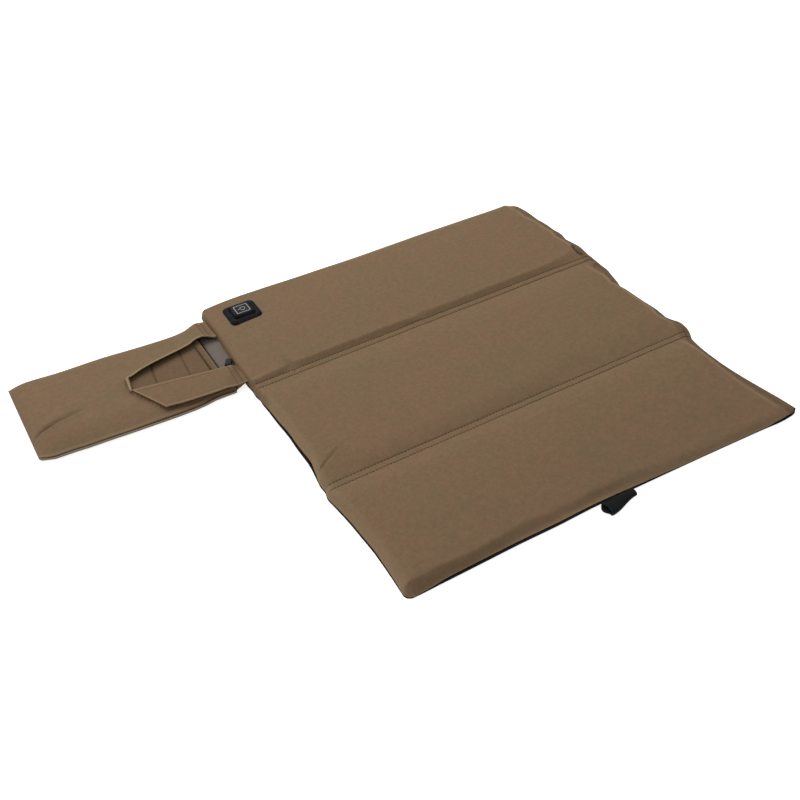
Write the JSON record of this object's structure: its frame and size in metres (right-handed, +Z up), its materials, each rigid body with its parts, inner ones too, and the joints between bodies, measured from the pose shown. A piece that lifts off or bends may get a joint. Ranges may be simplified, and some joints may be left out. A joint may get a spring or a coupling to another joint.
{
  "type": "heated seat cushion",
  "caption": "Flat folding heated seat pad of padded panels joined by sewn webs, with a corner push switch, a side pouch for a power bank and a webbing loop.",
  "frame": {"origin": "centre of the unfolded pad's underside, on the middle panel's flat base cloth", "axes": "+Z up through the seat face; +Y to the rear panel that carries the switch; +X to the plain side, away from the pouch"},
  "size_m": [0.5328, 0.4109, 0.0173],
  "materials": {
    "brown_canvas": "matt mottled brown woven canvas",
    "black_base_cloth": "matt black non-slip woven base cloth",
    "grey_lining": "smooth warm grey lining cloth",
    "wadding": "soft off-white needled wadding",
    "foam": "light grey closed-cell foam",
    "heating_tape": "dark woven heating tape",
    "switch_silicone": "satin black silicone",
    "circuit_board": "green circuit board",
    "bright_steel": "bright plated steel",
    "lead_jacket": "satin black lead jacket",
    "plug_plastic": "matt black plug moulding",
    "black_webbing": "black woven webbing"
  },
  "bodies": {
    "middle_panel": {"middle_cover": "brown_canvas", "middle_wadding": "wadding", "middle_foam": "foam", "middle_base": "black_base_cloth", "middle_heater": "heating_tape"},
    "rear_web": {"rear_web_cover": "brown_canvas", "rear_web_base": "black_base_cloth", "rear_web_link": "heating_tape"},
    "rear_panel": {"rear_cover": "brown_canvas", "rear_wadding": "wadding", "rear_foam": "foam", "rear_base": "black_base_cloth", "rear_heater": "heating_tape", "switch_base": "switch_silicone", "switch_board": "circuit_board", "switch_dome": "bright_steel", "supply_tape": "heating_tape"},
    "front_web": {"front_web_cover": "brown_canvas", "front_web_base": "black_base_cloth", "front_web_link": "heating_tape"},
    "front_panel": {"front_cover": "brown_canvas", "front_wadding": "wadding", "front_foam": "foam", "front_base": "black_base_cloth", "front_heater": "heating_tape"},
    "pouch_strip": {"pouch_strip": "grey_lining", "lead_gland": "switch_silicone"},
    "pouch": {"pouch_back": "grey_lining", "pouch_face": "brown_canvas", "pouch_sleeve": "brown_canvas", "pouch_lip": "brown_canvas", "usb_lead": "lead_jacket", "usb_plug_body": "plug_plastic", "usb_plug_shell": "bright_steel"},
    "switch_key": {"switch_key": "switch_silicone"},
    "webbing_loop": {"webbing_loop": "black_webbing"}
  },
  "joints": [
    {"name": "rear_web_fold", "type": "hinge", "parent": "middle_panel", "child": "rear_web", "pos_m": [0, 0.0555, 0.006], "axis": [1, 0, 0], "range_deg": [0, 88]},
    {"name": "rear_panel_fold", "type": "hinge", "parent": "rear_web", "child": "rear_panel", "pos_m": [0, 0.0685, 0.006], "axis": [1, 0, 0], "range_deg": [0, 88]},
    {"name": "front_web_fold", "type": "hinge", "parent": "middle_panel", "child": "front_web", "pos_m": [0, -0.069, 0.006], "axis": [1, 0, 0], "range_deg": [-45, 88.5]},
    {"name": "front_panel_fold", "type": "hinge", "parent": "front_web", "child": "front_panel", "pos_m": [0, -0.082, 0.006], "axis": [1, 0, 0], "range_deg": [-45, 88.5]},
    {"name": "pouch_strip_fold", "type": "hinge", "parent": "rear_panel", "child": "pouch_strip", "pos_m": [-0.17642, 0.133, 0.004], "axis": [0, -1, 0], "range_deg": [0, 88]},
    {"name": "pouch_fold", "type": "hinge", "parent": "pouch_strip", "child": "pouch", "pos_m": [-0.18542, 0.133, 0.004], "axis": [0, -1, 0], "range_deg": [0, 88]},
    {"name": "switch_press", "type": "slide", "parent": "rear_panel", "child": "switch_key", "axis": [0, 0, -1], "range_m": [0, 0.0008], "stiffness_N_per_m": 800},
    {"name": "loop_swing", "type": "hinge", "parent": "front_panel", "child": "webbing_loop", "pos_m": [0.003, -0.19821, 0.004], "axis": [-1, 0, 0], "range_deg": [0, 45]}
  ],
  "couplings": [
    {"joint": "rear_panel_fold", "follows": "rear_web_fold", "ratio": 1},
    {"joint": "front_panel_fold", "follows": "front_web_fold", "ratio": 1},
    {"joint": "pouch_fold", "follows": "pouch_strip_fold", "ratio": 1}
  ]
}
